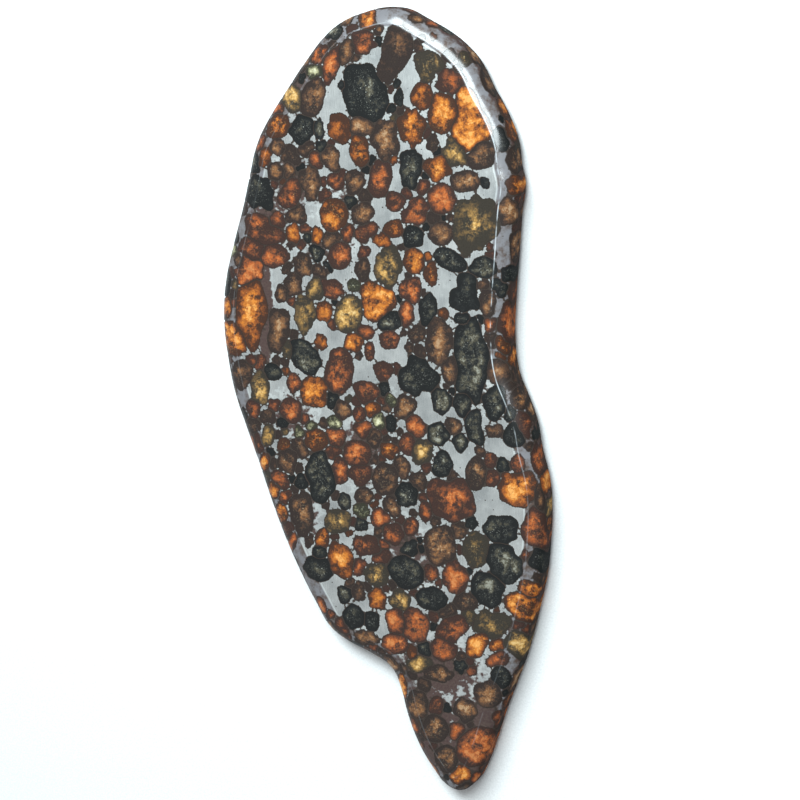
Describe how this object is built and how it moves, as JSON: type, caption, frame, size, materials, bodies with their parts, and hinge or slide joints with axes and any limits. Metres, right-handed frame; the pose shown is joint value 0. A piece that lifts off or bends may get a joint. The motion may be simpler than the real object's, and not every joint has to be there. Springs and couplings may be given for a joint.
{
  "type": "pallasite meteorite slice",
  "caption": "Flat polished slice of a stony-iron meteorite with amber olivine crystals in metal, kidney-shaped with a narrow tail and a rounded rim; lies flat for display.",
  "frame": {"origin": "on the sawn back face, under the middle of the slice's box", "axes": "+Z out of the front face; +Y along the slice towards its broad end; the narrow tail points to -Y"},
  "size_m": [0.0666, 0.149, 0.0075],
  "materials": {
    "pallasite": "polished, amber to black olivine crystals set flush in a silver-grey metal network",
    "nickel_iron": "polished silver-grey metal network with faint saw and polishing lines",
    "olivine_amber": "polished translucent orange to honey crystal, dark at its rim",
    "olivine_brown": "polished cloudy red-brown crystal with fine glints",
    "olivine_black": "polished near-black crystal with fine grey specks",
    "olivine_green": "polished cloudy grey-green to yellow crystal"
  },
  "bodies": {
    "root": {"slice": "pallasite"}
  },
  "joints": []
}
